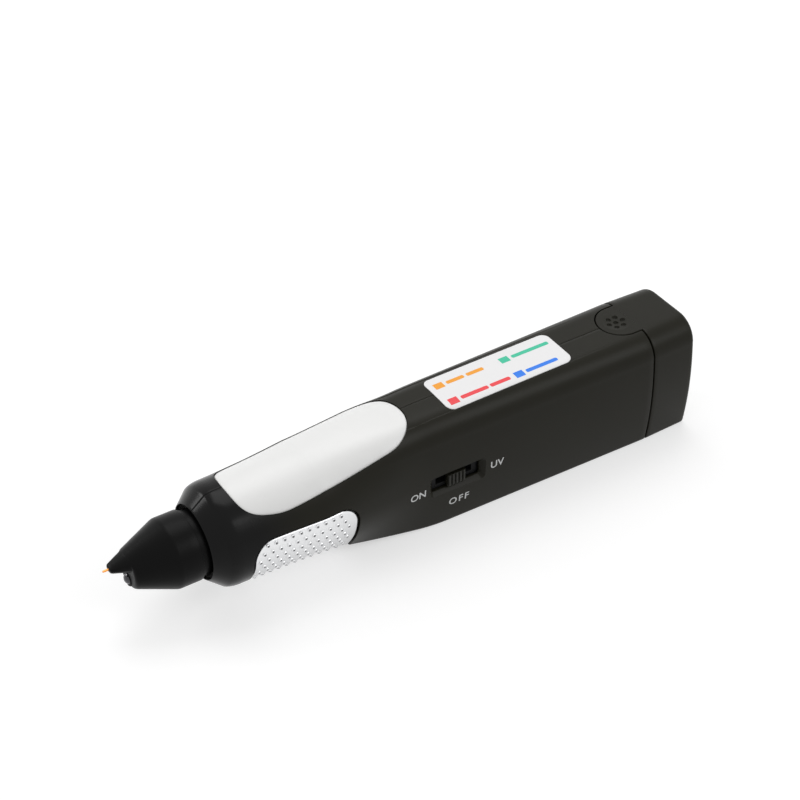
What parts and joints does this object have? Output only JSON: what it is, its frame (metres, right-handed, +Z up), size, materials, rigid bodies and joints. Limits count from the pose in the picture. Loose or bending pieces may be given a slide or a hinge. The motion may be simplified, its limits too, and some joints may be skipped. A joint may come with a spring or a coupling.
{
  "type": "diamond tester pen",
  "caption": "Pen-shaped gem tester with a sprung copper probe in a conical nose, a lit window, a bumped metal grip, a slide switch and a sliding battery cover.",
  "frame": {"origin": "under the middle of the pen's length, on the surface that its flat underside stands on", "axes": "+X along the pen from the probe to the battery cover, +Y across it away from the switch, +Z up"},
  "size_m": [0.1546, 0.0256, 0.0312],
  "materials": {
    "case_plastic": "satin black moulded plastic",
    "nose_plastic": "satin deep black moulded plastic",
    "knob_plastic": "satin black with moulded ribs",
    "frosted_plastic": "frosted translucent white",
    "plated_plastic": "satin silver plating",
    "label_film": "smooth white printed film",
    "copper": "bare copper",
    "lamp_resin": "clear dark resin",
    "sleeve_ceramic": "plain white ceramic",
    "spring_steel": "drawn wire",
    "inner_plastic": "dark moulded plastic",
    "wire_cover": "coloured wire sleeve",
    "board_laminate": "green solder mask",
    "indicator_resin": "pale moulded lamp body",
    "chip_resin": "dark moulded resin",
    "chip_ceramic": "tan ceramic",
    "contact_brass": "plated brass",
    "battery_jacket": "printed metal jacket",
    "screw_steel": "zinc plated"
  },
  "bodies": {
    "housing": {"left_shell": "case_plastic", "right_shell": "case_plastic", "light_window": "frosted_plastic", "grip_plate": "plated_plastic", "legend_label": "label_film", "nose_cone": "nose_plastic", "probe_sleeve": "sleeve_ceramic", "probe_spring": "spring_steel", "probe_carrier": "inner_plastic", "uv_lamp": "lamp_resin", "lamp_leads": "wire_cover", "probe_leads": "wire_cover", "main_board": "board_laminate", "indicator_lamps": "indicator_resin", "control_chip": "chip_resin", "chip_parts": "chip_ceramic", "buzzer": "inner_plastic", "grip_contact": "contact_brass", "slide_switch": "inner_plastic", "battery": "battery_jacket", "battery_snap": "inner_plastic", "battery_leads": "wire_cover", "case_screws": "screw_steel"},
    "probe": {"probe_pin": "copper", "thermistor": "chip_resin"},
    "knob": {"switch_knob": "knob_plastic", "switch_slider": "inner_plastic"},
    "cover": {"battery_cover": "case_plastic"}
  },
  "joints": [
    {"name": "probe_press", "type": "slide", "parent": "housing", "child": "probe", "axis": [1, 0, 0], "range_m": [0, 0.001], "stiffness_N_per_m": 300, "springref_m": -0.001, "deforming": ["probe_spring"]},
    {"name": "switch_slide", "type": "slide", "parent": "housing", "child": "knob", "axis": [1, 0, 0], "range_m": [-0.0036, 0.0036]},
    {"name": "cover_slide", "type": "slide", "parent": "housing", "child": "cover", "axis": [1, 0, 0], "range_m": [0, 0.025]}
  ]
}
